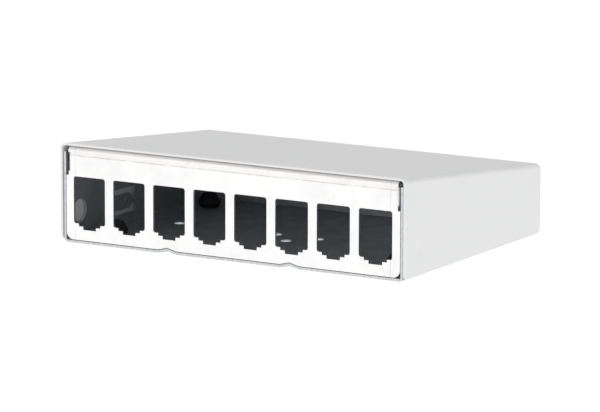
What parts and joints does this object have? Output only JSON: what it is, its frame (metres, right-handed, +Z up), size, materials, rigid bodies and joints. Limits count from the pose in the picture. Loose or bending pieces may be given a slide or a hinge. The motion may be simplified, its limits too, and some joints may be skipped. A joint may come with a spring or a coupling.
{
  "type": "jack module housing",
  "caption": "Low sheet-metal desktop housing for network jack modules: sloping lift-off hood, punched module panel, folded tray, push-in rubber feet.",
  "frame": {"origin": "middle of the footprint, on the plane of the feet's undersides", "axes": "+X to the housing's right seen from the front, module panel facing -Y, +Z up"},
  "size_m": [0.158, 0.112, 0.0428],
  "materials": {
    "white_powder_coat": "fine satin powder coat",
    "galvanised_steel": "bright zinc with a faint spangle",
    "black_rubber": "matt moulded rubber"
  },
  "bodies": {
    "tray": {"tray": "galvanised_steel", "module_panel": "galvanised_steel", "foot_front_left": "black_rubber", "foot_front_right": "black_rubber", "foot_rear_left": "black_rubber", "foot_rear_right": "black_rubber"},
    "hood": {"hood": "white_powder_coat"}
  },
  "joints": [
    {"name": "hood_lift", "type": "slide", "parent": "tray", "child": "hood", "axis": [0, 0, 1], "range_m": [0, 0.06]}
  ]
}
